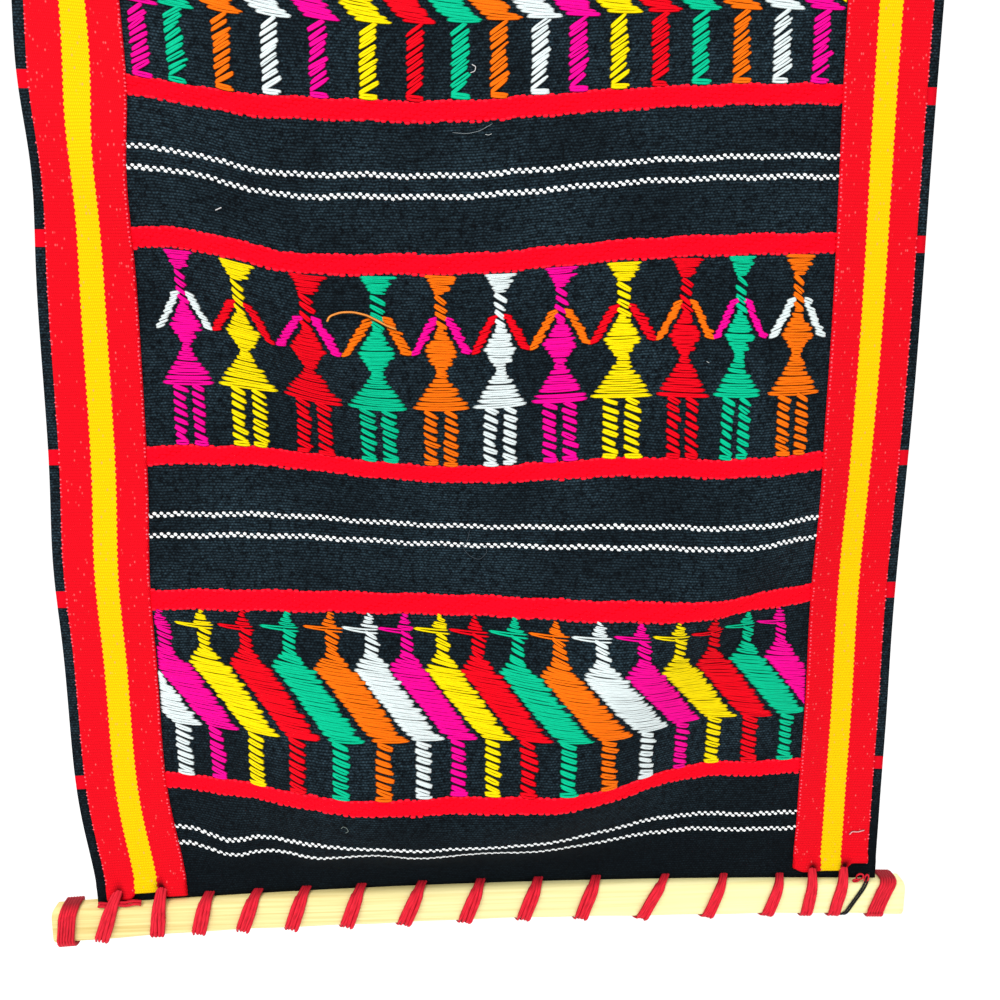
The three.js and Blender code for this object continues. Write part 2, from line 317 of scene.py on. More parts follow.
def give_inputs(piece, tree, values):
    """Puts a geometry tree on a piece and sets its named inputs by their identifiers."""
    modifier = piece.modifiers.new("made", "NODES")
    modifier.node_group = tree
    for socket in tree.interface.items_tree:
        if socket.name in values:
            modifier[socket.identifier] = values[socket.name]


weft_tree = bpy.data.node_groups.new("weft_floats", "GeometryNodeTree")
weft_tree.interface.new_socket("Geometry", in_out="INPUT", socket_type="NodeSocketGeometry")
for name, kind in (
    ("Length", "NodeSocketFloat"), ("Width", "NodeSocketFloat"), ("Height", "NodeSocketFloat"),
    ("Lean", "NodeSocketFloat"), ("Seed", "NodeSocketInt"), ("Yarn", "NodeSocketMaterial"),
):
    weft_tree.interface.new_socket(name, in_out="INPUT", socket_type=kind)
weft_tree.interface.new_socket("Geometry", in_out="OUTPUT", socket_type="NodeSocketGeometry")
given = add(weft_tree, "NodeGroupInput")
pad = add(weft_tree, "GeometryNodeMeshUVSphere", {"Segments": 6, "Rings": 4, "Radius": 0.5})
pad_size = add(weft_tree, "ShaderNodeCombineXYZ", {
    0: given.outputs["Length"], 1: given.outputs["Width"], 2: given.outputs["Height"],
})
pad_turn = add(weft_tree, "ShaderNodeCombineXYZ", {2: given.outputs["Lean"]})
sized_pad = add(weft_tree, "GeometryNodeTransform", {
    "Geometry": pad, "Rotation": pad_turn, "Scale": pad_size,
})
uneven = add(weft_tree, "FunctionNodeRandomValue", {
    "Min": (0.9, 0.86, 0.8), "Max": (1.1, 1.14, 1.2), "Seed": given.outputs["Seed"],
}, data_type="FLOAT_VECTOR")
floats = add(weft_tree, "GeometryNodeInstanceOnPoints", {
    "Points": given.outputs["Geometry"], "Instance": sized_pad, "Scale": uneven,
})
real = add(weft_tree, "GeometryNodeRealizeInstances", {"Geometry": floats})
soft = add(weft_tree, "GeometryNodeSetShadeSmooth", {"Geometry": real})
yarned = add(weft_tree, "GeometryNodeSetMaterial", {"Geometry": soft, "Material": given.outputs["Yarn"]})
add(weft_tree, "NodeGroupOutput", {"Geometry": yarned})

# Cotton weft dyed bright red: even and matt, a little lighter where fibres stand up.
red_weft, tree = new_finish("red_cotton_weft")
place = add(tree, "ShaderNodeAttribute", attribute_name="flat_place")
fibres = add(tree, "ShaderNodeMapping", {"Vector": place.outputs["Vector"], "Scale": (0.6, 5, 5)})
fibre = add(tree, "ShaderNodeTexNoise", {"Vector": fibres, "Scale": 1.2, "Detail": 3})
red = add(tree, "ShaderNodeMix", {0: fibre, 6: linear("#e80018"), 7: linear("#ff0422")}, data_type="RGBA")
bump = add(tree, "ShaderNodeBump", {"Height": fibre, "Strength": 0.4, "Distance": 0.0002})
surface(tree, {
    "Base Color": red.outputs[2], "Normal": bump, "Roughness": 0.8, "Specular IOR Level": 0.05,
})

# The same red cotton, painted lighter as a highlight where its outermost floats stand free and catch more
# light.
lit_red_weft, tree = new_finish("red_cotton_weft_painted_highlight")
# A lighter red for the painted highlight.
surface(tree, {"Base Color": linear("#f8102c"), "Roughness": 0.8, "Specular IOR Level": 0.15})

# Bleached cotton weft: clean white, matt.
white_weft, tree = new_finish("white_cotton_weft")
place = add(tree, "ShaderNodeAttribute", attribute_name="flat_place")
fibre = add(tree, "ShaderNodeTexNoise", {"Vector": place.outputs["Vector"], "Scale": 3, "Detail": 2})
white = add(tree, "ShaderNodeMix", {0: fibre, 6: linear("#dfe6e6"), 7: linear("#ffffff")}, data_type="RGBA")
surface(tree, {"Base Color": white.outputs[2], "Roughness": 0.8, "Specular IOR Level": 0.05})


def row_of_floats(down, shift, wave=0, reach=132.5):
    """The middles of one row's floats, from ribbon to ribbon, slightly uneven."""
    across = np.arange(-reach + shift, reach, float_period)
    wander = 0.25 * np.sin(across * 0.23 + down - wave) + 0.15 * np.sin(across * 0.71 + 2 * (down - wave))
    return np.stack([across, -(down + wander), np.full(len(across), 0.75)], axis=-1)


def weave_floats(name, middles, length, width, height, seed, yarn, lean=0):
    """Weft floats at their middles on the flat cloth, hung with it. Their lean is in degrees."""
    mesh = bpy.data.meshes.new(name)
    mesh.from_pydata(middles, [], [])
    piece = put_up(name, mesh)
    give_inputs(piece, weft_tree, {
        "Length": length, "Width": width, "Height": height, "Lean": radians(lean), "Seed": seed,
        "Yarn": yarn,
    })
    baked(piece)
    flat = np.empty(len(piece.data.vertices) * 3)
    piece.data.vertices.foreach_get("co", flat)
    flat = flat.reshape(-1, 3)
    keep_flat_place(piece.data, flat)
    piece.data.vertices.foreach_set("co", drape(flat).ravel())
    piece.data.update()
    belongs(piece, "black_cotton")


band_hand = np.random.default_rng(2)
for number, (top, bottom) in enumerate(red_bands):
    rows_of_weft = round((bottom - top) / weft_pitch) - 1
    downs = np.linspace(top + 1.1, bottom - 1.3, rows_of_weft)
    rows = [row_of_floats(down, (i % 2) * float_period / 2) for i, down in enumerate(downs)]
    weave_floats(f"red_band_{number}", np.concatenate(rows), 3.6, 1.9, 0.7, seed=number, yarn=red_weft)
    rows = [row_of_floats(down, float_period / 2) for down in (top + 0.55, bottom - 0.55)]
    teeth = np.concatenate(rows)
    teeth[:, :2] += band_hand.normal(0, (0.25, 0.12), (len(teeth), 2))
    weave_floats(f"red_teeth_{number}", teeth, 2.5, 1.35, 0.75, seed=number + 20, yarn=lit_red_weft)

pin_lines = [16, 23.5, 153.5, 161, 290, 298, 423, 430.5]
middles = np.concatenate([
    row_of_floats(down + side * 0.5, (side > 0) * float_period / 2, side * 0.5)
    for down in pin_lines for side in (-1, 1)
])
weave_floats("white_pin_lines", middles, 1.75, 1.25, 0.8, seed=11, yarn=white_weft, lean=-12)


# The figures are brocaded: soft floss lies on the cloth in single floats, each as wide as its part of the
# figure, and dips into the weave at both ends. Women hold hands in the middle row, birds fill the others.
yarn_tree = bpy.data.node_groups.new("laid_yarn", "GeometryNodeTree")
yarn_tree.interface.new_socket("Geometry", in_out="INPUT", socket_type="NodeSocketGeometry")
for name, kind in (
    ("Sides", "NodeSocketInt"), ("Flatness", "NodeSocketFloat"), ("Yarn", "NodeSocketMaterial"),
):
    yarn_tree.interface.new_socket(name, in_out="INPUT", socket_type=kind)
yarn_tree.interface.new_socket("Geometry", in_out="OUTPUT", socket_type="NodeSocketGeometry")
given = add(yarn_tree, "NodeGroupInput")
centre_lines = add(yarn_tree, "GeometryNodeMeshToCurve", {"Mesh": given.outputs["Geometry"]})
half_width = add(yarn_tree, "GeometryNodeInputNamedAttribute", {"Name": "half_width"}, data_type="FLOAT")
upright = add(yarn_tree, "GeometryNodeSetCurveNormal", {"Curve": centre_lines}, mode="Z_UP")
circle = add(yarn_tree, "GeometryNodeCurvePrimitiveCircle", {
    "Resolution": given.outputs["Sides"], "Radius": 1,
})
flat_scale = add(yarn_tree, "ShaderNodeCombineXYZ", {0: 1, 1: given.outputs["Flatness"], 2: 1})
oval = add(yarn_tree, "GeometryNodeTransform", {"Geometry": circle, "Scale": flat_scale})
turn = add(yarn_tree, "GeometryNodeSplineParameter")
marked = add(yarn_tree, "GeometryNodeStoreNamedAttribute", {
    "Geometry": oval, "Name": "around", "Value": turn.outputs["Factor"],
}, data_type="FLOAT", domain="POINT")
swept = add(yarn_tree, "GeometryNodeCurveToMesh", {
    "Curve": upright, "Profile Curve": marked, "Scale": half_width, "Fill Caps": True,
})
soft = add(yarn_tree, "GeometryNodeSetShadeSmooth", {"Geometry": swept})
real = add(yarn_tree, "GeometryNodeRealizeInstances", {"Geometry": soft})
yarned = add(yarn_tree, "GeometryNodeSetMaterial", {"Geometry": real, "Material": given.outputs["Yarn"]})
add(yarn_tree, "NodeGroupOutput", {"Geometry": yarned})


pattern_gap = 37  # between two yarns' places in the strands' pattern, so that no two look alike


def lay_yarn(name, lines, yarn, sides=6, flatness=1.0, on_cloth=True):
    """Sweeps yarn along lines of (points, half widths, colour), on the flat cloth or free in space."""
    counts = [len(points) for points, halves, colour in lines]
    points = np.concatenate([points for points, halves, colour in lines])
    firsts = np.cumsum([0] + counts[:-1])
    edges = np.concatenate([
        np.stack([np.arange(count - 1), np.arange(1, count)], axis=-1) + first
        for first, count in zip(firsts, counts)
    ])
    mesh = bpy.data.meshes.new(name)
    mesh.from_pydata(points, edges.tolist(), [])
    halves = mesh.attributes.new("half_width", "FLOAT", "POINT")
    halves.data.foreach_set("value", np.concatenate([halves for points, halves, colour in lines]))
    along = mesh.attributes.new("along", "FLOAT", "POINT")
    runs = []
    for i, line in enumerate(lines):
        steps = np.linalg.norm(np.diff(line[0], axis=0), axis=1)
        runs.append(np.concatenate([[0], np.cumsum(steps)]) + pattern_gap * i)
    along.data.foreach_set("value", np.concatenate(runs))
    dye = mesh.attributes.new("dye", "FLOAT_COLOR", "POINT")
    dye.data.foreach_set("color", np.repeat([line[2] for line in lines], counts, axis=0).ravel())
    piece = put_up(name, mesh)
    give_inputs(piece, yarn_tree, {"Sides": sides, "Flatness": flatness, "Yarn": yarn})
    baked(piece)
    made = np.empty(len(piece.data.vertices) * 3)
    piece.data.vertices.foreach_get("co", made)
    made = made.reshape(-1, 3)
    # crown: how far each point faces out of the cloth, or to the rod's front and back; the yarns' painted
    # shade follows it.
    facing = np.empty(len(piece.data.vertices) * 3, np.float32)
    piece.data.vertices.foreach_get("normal", facing)
    crown = piece.data.attributes.new("crown", "FLOAT", "POINT")
    crown.data.foreach_set("value", facing[2::3] if on_cloth else np.abs(facing[1::3]))
    if on_cloth:
        keep_flat_place(piece.data, made)
    piece.data.vertices.foreach_set("co", (drape(made) if on_cloth else made / 1000).ravel())
    piece.data.update()
    return piece


dyes = {
    "magenta": linear("#ff0099"),
    "yellow": linear("#ffe400"),
    "red": linear("#f2001a"),
    "green": linear("#00c492"),
    "orange": linear("#ff7408"),
    "white": linear("#e4f0f0"),
}

# Untwisted cotton floss: its strands show as fine lines with a soft sheen, with painted shade where two lie
# side by side.
floss, tree = new_finish("cotton_floss")
dyed = add(tree, "ShaderNodeAttribute", attribute_name="dye")
along = add(tree, "ShaderNodeAttribute", attribute_name="along")
around = add(tree, "ShaderNodeAttribute", attribute_name="around")
strand_place = add(tree, "ShaderNodeCombineXYZ", {0: along.outputs["Fac"], 1: around.outputs["Fac"]})
stretched = add(tree, "ShaderNodeMapping", {"Vector": strand_place, "Scale": (0.25, 14, 1)})
strands = add(tree, "ShaderNodeTexNoise", {"Vector": stretched, "Scale": 1.3, "Detail": 3})
strand_light = add(tree, "ShaderNodeMapRange", {"Value": strands, 1: 0.3, 2: 0.7, 3: 0.78, 4: 1.04})
# Painted shade: each strand darkens towards its sides, where its surface turns away from the cloth's face.
crown = add(tree, "ShaderNodeAttribute", attribute_name="crown")
open_light = add(
    tree, "ShaderNodeMapRange", {"Value": crown.outputs["Fac"], 1: 0.4, 2: 0.92, 3: 0.12, 4: 1},
    interpolation_type="SMOOTHSTEP",
)
light = add(tree, "ShaderNodeMath", {0: strand_light, 1: open_light}, operation="MULTIPLY")
shaded = add(tree, "ShaderNodeVectorMath", {0: dyed.outputs["Color"], "Scale": light}, operation="SCALE")
bump = add(tree, "ShaderNodeBump", {"Height": strands, "Strength": 0.8, "Distance": 0.0003})
surface(tree, {"Base Color": shaded, "Normal": bump, "Roughness": 0.6, "Specular IOR Level": 0.06})

# Each part of a figure: down from the row's top to its first and last float, how many floats, their left
# and right ends first and last, how far each falls to the right, its width, and what it is.
woman_parts = [
    (0.7, 6.6, 6, -6.4, 6.4, -2.8, 2.8, 0.3, 1.25, "body"),
    (9.3, 18.9, 4, -2.5, 2.5, -2.4, 2.4, 3.1, 1.85, "body"),
    (20.4, 28.8, 6, -1.6, 1.6, -6.9, 6.9, 0.5, 1.75, "body"),
    (30.3, 36.4, 5, -6.1, 6.1, -1.9, 1.9, 0.3, 1.65, "body"),
    (38.0, 50.4, 8, -2.5, 2.5, -11.2, 11.2, 0.5, 1.6, "body"),
    (52.6, 71.0, 7, -6.8, -1.2, -6.9, -1.2, 2.6, 1.9, "body"),
    (52.6, 71.0, 7, 1.2, 6.8, 1.2, 6.9, 2.6, 1.9, "body"),
    (73.3, 73.3, 1, -7.0, -1.1, -7.0, -1.1, 0.3, 1.85, "body"),
    (73.3, 73.3, 1, 1.1, 7.0, 1.1, 7.0, 0.3, 1.85, "body"),
    (16.8, 29.0, 8, -5.3, -1.4, -12.4, -8.4, -1.1, 1.85, "arm"),
    (16.8, 29.0, 8, 1.4, 5.3, 8.4, 12.4, 1.1, 1.85, "arm"),
]
bird_parts = [
    (0.4, 4.6, 4, -21.6, -20.0, -23.8, -17.8, 0.8, 1.2, "body"),
    (6.0, 6.0, 1, -31.2, -18.2, -31.2, -18.2, 1.4, 2.6, "beak"),
    (8.0, 15.2, 4, -22.3, -17.2, -22.3, -16.9, 2.6, 1.6, "body"),
    (16.9, 20.6, 3, -23.0, -15.0, -26.0, -12.6, 2.4, 1.7, "body"),
    (22.2, 45.8, 15, -26.8, -11.4, -7.0, 6.0, 1.9, 1.68, "body"),
    (47.4, 47.4, 1, -4.6, 7.4, -4.6, 7.4, 0.8, 1.5, "body"),
    (49.6, 67.0, 7, -3.1, 3.1, -3.1, 3.1, 2.4, 2.0, "body"),
    (69.2, 69.2, 1, -3.4, 3.4, -3.4, 3.4, 0.4, 2.0, "body"),
]

strand_apart = 0.27  # from a float's middle line to its strands', as a share of its width
strand_half = 0.36  # half of a strand's width, as a share of the float's


def figure(parts, middle, top, body, arms, hand, girth=1.0, spare=0, limit=131.6):
    """The floats of one figure, two strands each, laid by a slightly uneven hand between the ribbons."""
    lines = []
    step = np.array([-1, -0.85, -0.45, 0, 0.45, 0.85, 1])
    for first, last, count, left, right, last_left, last_right, fall, width, kind in parts:
        for number, share in enumerate(np.linspace(0, 1, count)):
            start = middle + girth * (left + (last_left - left) * share) + hand.normal(0, 0.15)
            end = middle + girth * (right + (last_right - right) * share) + hand.normal(0, 0.35)
            end += spare + 0.4 * (-1) ** number if right - left > 10 else 0
            down = top + first + (last - first) * share + hand.normal(0, 0.12)
            tilt = fall + hand.normal(0, 0.2)
            for strand in (-strand_apart, strand_apart):
                begins = max(start + hand.normal(0, 0.15), -limit)
                ends = min(end + hand.normal(0, 0.3), limit)
                if ends - begins < 1.2:
                    continue
                bow = (hand.normal(0.0, 0.07) + 0.016 * (ends - begins)) * (1 - step ** 2)
                closing = ((step + 1) / 2) ** 0.4 if kind == "beak" else 1 - 0.6 * step ** 4
                points = np.stack([
                    begins + (ends - begins) * (step + 1) / 2,
                    -(down + tilt * step / 2 + strand * width * closing + bow),
                    0.58 + 0.42 * (1 - step ** 4) + hand.normal(0, 0.04),
                ], axis=-1)
                halves = strand_half * width * np.where(np.abs(step) > 0.9, 0.7, 1)
                halves *= (1 + hand.normal(0, 0.06)) * (0.5 if kind == "beak" else 1)
                lines.append((points, halves, dyes[arms if kind == "arm" else body]))
    return lines


women = [  # across of the middle, body, arms, girth
    (-114.7, "magenta", "white", 0.86), (-92.3, "yellow", "red", 1.0), (-67.5, "red", "magenta", 1.0),
    (-42.6, "green", "orange", 1.02), (-19.0, "orange", "magenta", 0.92), (3.4, "white", "red", 0.9),
    (26.1, "magenta", "orange", 0.94), (49.2, "yellow", "red", 1.02), (72.7, "red", "orange", 0.92),
    (94.5, "green", "magenta", 0.86), (117.7, "orange", "white", 0.92),
]
hand = np.random.default_rng(7)
lines = []
for middle, body, arms, girth in women:
    lines += figure(woman_parts, middle, red_bands[2][1], body, arms, hand, girth)
belongs(lay_yarn("women_row", lines, floss, flatness=0.7), "embroidery_yarn")

lower_birds = [
    (-123, "white"), (-108.6, "magenta"), (-92.3, "yellow"), (-75.7, "red"), (-58.7, "green"),
    (-42.2, "orange"), (-27, "white"), (-13.1, "magenta"), (0.8, "yellow"), (14.9, "red"),
    (30.3, "green"), (45.9, "orange"), (61.8, "white"), (77.6, "magenta"), (92.1, "yellow"),
    (107.9, "red"), (123.8, "green"), (138.8, "magenta"),
]
lines = []
for number, (middle, body) in enumerate(lower_birds):
    beside = lower_birds[min(number + 1, len(lower_birds) - 1)][0]
    spare = np.clip(beside - middle - 13.9, 0, 1.6)
    lines += figure(bird_parts, middle, red_bands[4][1], body, body, hand, spare=spare)
belongs(lay_yarn("lower_bird_row", lines, floss, flatness=0.7), "embroidery_yarn")

upper_birds = [
    (-126.6, "magenta"), (-114.1, "green"), (-97, "orange"), (-79.6, "white"), (-62.3, "magenta"),
    (-44.4, "yellow"), (-27.6, "red"), (-11.5, "green"), (2.6, "orange"), (17.4, "white"),
    (31.3, "magenta"), (46.3, "yellow"), (61.5, "red"), (76.6, "green"), (92.2, "orange"),
    (107.6, "white"), (122.6, "magenta"), (137.6, "yellow"),
]
long_legged = [(first * 0.91, last * 0.91, *rest) for first, last, *rest in bird_parts[:-2]]
long_legged += [(46.0, 66.0, 9, -3.2, 3.2, -3.2, 3.2, -4.3, 1.8, "body"), bird_parts[-1]]
lines = []
for middle, body in upper_birds:
    lines += figure(long_legged, middle, red_bands[0][1], body, body, hand)
belongs(lay_yarn("upper_bird_row", lines, floss, flatness=0.7), "embroidery_yarn")


# An orange thread hangs loose across two of the women, and lint and a fine grey fibre cling to the cloth.
def loose_line(points, half, colour, out):
    """A thin smooth line through a few places (across, down) of the flat cloth."""
    places = np.array(points, float)
    run = np.linspace(0, len(places) - 1, 4 * len(places))
    across = np.interp(run, range(len(places)), places[:, 0])
    down = np.interp(run, range(len(places)), places[:, 1])
    across[1:-1] = (across[:-2] + across[1:-1] + across[2:]) / 3
    down[1:-1] = (down[:-2] + down[1:-1] + down[2:]) / 3
    line = np.stack([across, -down, np.full(len(run), out)], axis=-1)
    return line, np.full(len(run), half), linear(colour)


loose_orange = [
    (-60.2, 206.7), (-59.4, 204.7), (-55.6, 203.4), (-51.4, 203.4),
    (-46.7, 204.6), (-42.4, 206.9), (-39.1, 208.8), (-35.9, 210.0),
]
lines = [loose_line(loose_orange, 0.5, "#f79a45", 2.0)]
belongs(lay_yarn("loose_orange_thread", lines, floss), "embroidery_yarn")
grey_curl = [
    (-7.9, 291.7), (-8.7, 296), (-10.7, 299.4), (-7.9, 302.7), (-4, 304.3), (-0.8, 300.9), (-2, 297.9),
]
green_curl = [(-59.2, 411), (-58.4, 409.8), (-57, 410.4), (-56.4, 412.2), (-57.6, 413.2)]
lines = [
    loose_line(grey_curl, 0.18, "#465058", 1.0),
    loose_line([(-14.2, 138.4), (-9, 139), (-4.5, 138.3), (0.2, 136)], 0.15, "#8a9498", 1.0),
    loose_line([(-7.2, 115.2), (-5.8, 116), (-6.2, 117.6), (-7.8, 118)], 0.22, "#e0e0e0", 1.0),
    loose_line([(-2.4, 139.6), (-1.2, 139.9), (0, 139.5)], 0.16, "#c8d0d0", 1.0),
    loose_line([(-99.9, 172.8), (-99, 172), (-98, 171.2)], 0.28, "#e0e0e0", 1.0),
    loose_line(green_curl, 0.2, "#7c8a86", 1.0),
    loose_line([(155.8, 434), (157, 432.6), (159.5, 432.8), (162.3, 431.9)], 0.34, "#ffb4b4", 2.1),
    loose_line([(81.5, 227.8), (82.6, 228.3)], 0.18, "#c0c8c8", 1.0),
]
belongs(lay_yarn("lint_and_fibres", lines, floss), "black_cotton")


# A warp-faced ribbon in red, yellow and red is sewn down each side on the cloth's front. Its lower end is
# turned under and thicker, and the lashings that pass through it pucker it.
ribbon_outer = 165
ribbon_inner = 132
ribbon_start = 1
ribbon_end = 451.5
rib_pitch = 1.15  # from one rib across the ribbon to the next
warp_pitch = 0.7  # from one warp end to the next
stripe_span = 33.35  # the ribbon's width and the shift of every other rib

# Cotton dyed red and yellow, so close in the warp that it shows as fine cross ribs of small round ends,
# with painted shade round each end. Every other rib is set half an end aside, and a few ends carry a
# painted pale highlight. Painted shade also fills the puckers at the lashing holes.
striped_warp, tree = new_finish("warp_faced_striped_ribbon")
place = add(tree, "ShaderNodeAttribute", attribute_name="flat_place")
axes = add(tree, "ShaderNodeSeparateXYZ", {0: place.outputs["Vector"]})
from_centre = add(tree, "ShaderNodeMath", {0: axes.outputs["X"]}, operation="ABSOLUTE")
from_inner = add(tree, "ShaderNodeMath", {0: from_centre, 1: ribbon_inner}, operation="SUBTRACT")
rib = add(tree, "ShaderNodeMath", {0: axes.outputs["Y"], 1: rib_pitch}, operation="DIVIDE")
rib_row = add(tree, "ShaderNodeMath", {0: rib}, operation="FLOOR")
rib_odd = add(tree, "ShaderNodeMath", {0: rib_row, 1: 2}, operation="FLOORED_MODULO")
half_end = warp_pitch / 2
rib_shift = add(tree, "ShaderNodeMath", {0: rib_odd, 1: half_end, 2: from_inner}, operation="MULTIPLY_ADD")
stripe_place = add(tree, "ShaderNodeMath", {0: rib_shift, 1: 1 / stripe_span}, operation="MULTIPLY")
stripes = add(tree, "ShaderNodeValToRGB", {0: stripe_place})
stripes.color_ramp.interpolation = "CONSTANT"
stripes.color_ramp.elements[0].color = linear("#f20a1e")
stripes.color_ramp.elements[1].position = 11.9 / stripe_span
stripes.color_ramp.elements[1].color = linear("#ffd200")
stripes.color_ramp.elements.new(20.9 / stripe_span).color = linear("#f20a1e")
warp_end = add(tree, "ShaderNodeMath", {0: rib_shift, 1: warp_pitch}, operation="DIVIDE")
end_beside = add(tree, "ShaderNodeMath", {0: warp_end}, operation="FRACT")
end_middle = add(tree, "ShaderNodeMath", {0: end_beside, 1: 0.5}, operation="SUBTRACT")
rib_above = add(tree, "ShaderNodeMath", {0: rib}, operation="FRACT")
rib_middle = add(tree, "ShaderNodeMath", {0: rib_above, 1: 0.5}, operation="SUBTRACT")
offset = add(tree, "ShaderNodeCombineXYZ", {0: end_middle, 1: rib_middle})
from_middle = add(tree, "ShaderNodeVectorMath", {0: offset}, operation="LENGTH")
warp_top = add(
    tree, "ShaderNodeMapRange", {"Value": from_middle.outputs["Value"], 1: 0.6, 2: 0.1},
    interpolation_type="SMOOTHSTEP",
)
# Painted shade: each round warp end darkens from its top towards its rim.
warp_light = add(tree, "ShaderNodeMapRange", {"Value": warp_top, 1: 0, 2: 1, 3: 0.72, 4: 1.0})
# Painted shade: the ribbon is darkened nearly to black in the puckers round the lashing holes.
pucker_painted_shade = add(tree, "ShaderNodeAttribute", attribute_name="pucker_painted_shade")
pucker_shade_light = add(tree, "ShaderNodeMapRange", {"Value": pucker_painted_shade.outputs["Fac"], 3: 1, 4: 0.03})
all_light = add(tree, "ShaderNodeMath", {0: warp_light, 1: pucker_shade_light}, operation="MULTIPLY")
end_column = add(tree, "ShaderNodeMath", {0: warp_end}, operation="FLOOR")
end_name = add(tree, "ShaderNodeCombineXYZ", {0: end_column, 1: rib_row})
end_luck = add(tree, "ShaderNodeTexWhiteNoise", {"Vector": end_name}, noise_dimensions="2D")
# Painted highlight: a few ends picked at random are lightened to pale pink at their tops.
end_highlight_share = add(tree, "ShaderNodeMapRange", {"Value": end_luck.outputs["Value"], 1: 0.965, 2: 0.995, 4: 0.6})
painted_end_highlight = add(tree, "ShaderNodeMath", {0: end_highlight_share, 1: warp_top}, operation="MULTIPLY")
flecked = add(tree, "ShaderNodeMix", {0: painted_end_highlight, 6: stripes, 7: linear("#ff7a7a")}, data_type="RGBA")
shaded = add(tree, "ShaderNodeVectorMath", {0: flecked.outputs[2], "Scale": all_light}, operation="SCALE")
bump = add(tree, "ShaderNodeBump", {"Height": warp_top, "Strength": 0.6, "Distance": 0.0003})
surface(tree, {"Base Color": shaded, "Normal": bump, "Roughness": 0.75, "Specular IOR Level": 0.05})


def ribbon_back(across, down):
    return half_thickness(across, down) + 0.1


ribbon_holes = [(-159.5, 448.5), (-142, 448.5), (140.5, 449.5), (154.5, 449)]


def near_hole(across, down, beside, along):
    """1 at the holes that the lashings make, falling to 0 around them."""
    return sum(bell(across, x, beside) * bell(down, s, along) for x, s in ribbon_holes)


def ribbon_front(across, down):
    """The ribbon's front: rounded at its selvedges and turned end, and drawn in where yarn passes."""
    turned = ease(down, cloth_length - hem - 1.5, cloth_length - hem + 0.5)
    thickness = 1.1 + 0.9 * turned
    edge = np.minimum(np.abs(across) - ribbon_inner, ribbon_outer - np.abs(across))
    rounding = np.sqrt(np.clip(1 - (1 - np.clip(edge / 0.9, 0, 1)) ** 2, 0, 1))
    end_rounding = np.sqrt(np.clip(1 - (1 - np.clip((ribbon_end - down) / 1.6, 0, 1)) ** 2, 0, 1))
    pucker = 0.9 * near_hole(across, down, 1.6, 2.2) + 0.35 * near_hole(across, down + 3, 1.2, 5)
    rise = (thickness - 0.05) * rounding * end_rounding
    return half_thickness(across, down) + 0.15 + rise - pucker * end_rounding


def pulled(across, down):
    """The uneven end of each ribbon, drawn up or let down by its lashings."""
    place = np.abs(across)
    right = 3.6 * ease(place, 154.5, 158) - 0.8 * bell(place, 138.5, 3) + 1.2 * bell(place, 132, 1.5)
    left = -2.6 * ease(place, 153, 155) - 2.4 * (1 - ease(place, 140, 143))
    return down - np.where(across > 0, right, left) * ease(down, 438, ribbon_end)


for side, node in ((-1, "ribbon_left"), (1, "ribbon_right")):
    columns = np.concatenate([[0, 0.15, 0.4, 0.9], np.linspace(1.8, 31.2, 27), [32.1, 32.6, 32.85, 33]])
    columns = np.sort(side * (ribbon_inner + columns))
    rows = np.concatenate([
        np.linspace(ribbon_start, 436, 168), np.linspace(437.5, 449.5, 13),
        [450.4, 451, 451.35, ribbon_end],
    ])
    ribbon = closed_sheet(f"woven_{node}", columns, rows, ribbon_front, ribbon_back, striped_warp, pulled)
    x, s = np.meshgrid(columns, rows)
    # Painted shade for the puckers, strongest at the lashing holes.
    pucker_painted_shade = ribbon.data.attributes.new("pucker_painted_shade", "FLOAT", "POINT")
    pucker_painted_shade.data.foreach_set("value", np.tile(np.clip(1.3 * near_hole(x, s, 1.3, 1.8), 0, 1).ravel(), 2))
    belongs(ribbon, "striped_ribbon", node)

# Pale pink cotton binds the ribbons' selvedges in small stitches; their pale pink is partly a painted
# highlight on the red edge loops.
pink_stitch_highlight, tree = new_finish("pale_pink_stitches_painted_highlight")
surface(tree, {"Base Color": linear("#f45466"), "Roughness": 0.8})
stitch_pitch = 1.65
stitch_hand = np.random.default_rng(9)
downs = np.arange(2, 449, stitch_pitch)
for side, node in ((-1, "left"), (1, "right")):
    for edge, line in (("inner", ribbon_inner + 0.45), ("outer", ribbon_outer - 0.45)):
        kept = stitch_hand.random(len(downs)) < (0.8 if edge == "inner" else 0.65)
        places = np.stack([np.full(len(downs), side * line), -downs, np.full(len(downs), 1.85)], axis=-1)
        places[:, :2] += stitch_hand.normal(0, 0.12, (len(downs), 2))
        weave_floats(f"selvedge_{node}_{edge}", places[kept], 0.9, 0.7, 0.5, seed=3, yarn=pink_stitch_highlight)


# The rod is a sanded softwood slat with rounded edges, bowed upwards by the cloth's pull. Its grain runs
# along it, and its lower edge is a little uneven from the knife.
rod_length = 362
rod_height = 15.5
rod_depth = 10
rod_round = 3


def rod_axis(x):
    return rod_rise(x) - cloth_length - 0.3 - rod_height / 2


def rod_wear(x):
    """How far the rod's lower edge stands above a true slat's."""
    return 0.5 - 0.8 * ease(x, -160, 60) + 0.2 * np.sin(x * 0.05 + 1) + 0.12 * np.sin(x * 0.17)


def rod_outline(offset, corner=6):
    """The rod's rounded outline in depth and height, anticlockwise as seen from its right end."""
    y, z, r = rod_depth / 2 - rod_round, rod_height / 2 - rod_round, rod_round + offset
    points = []
    for side, top, first in ((1, 1, 0), (-1, 1, pi / 2), (-1, -1, pi), (1, -1, 1.5 * pi)):
        for turn in np.linspace(first, first + pi / 2, corner):
            points.append((side * y + r * np.cos(turn), top * z + r * np.sin(turn)))
    return np.array(points)


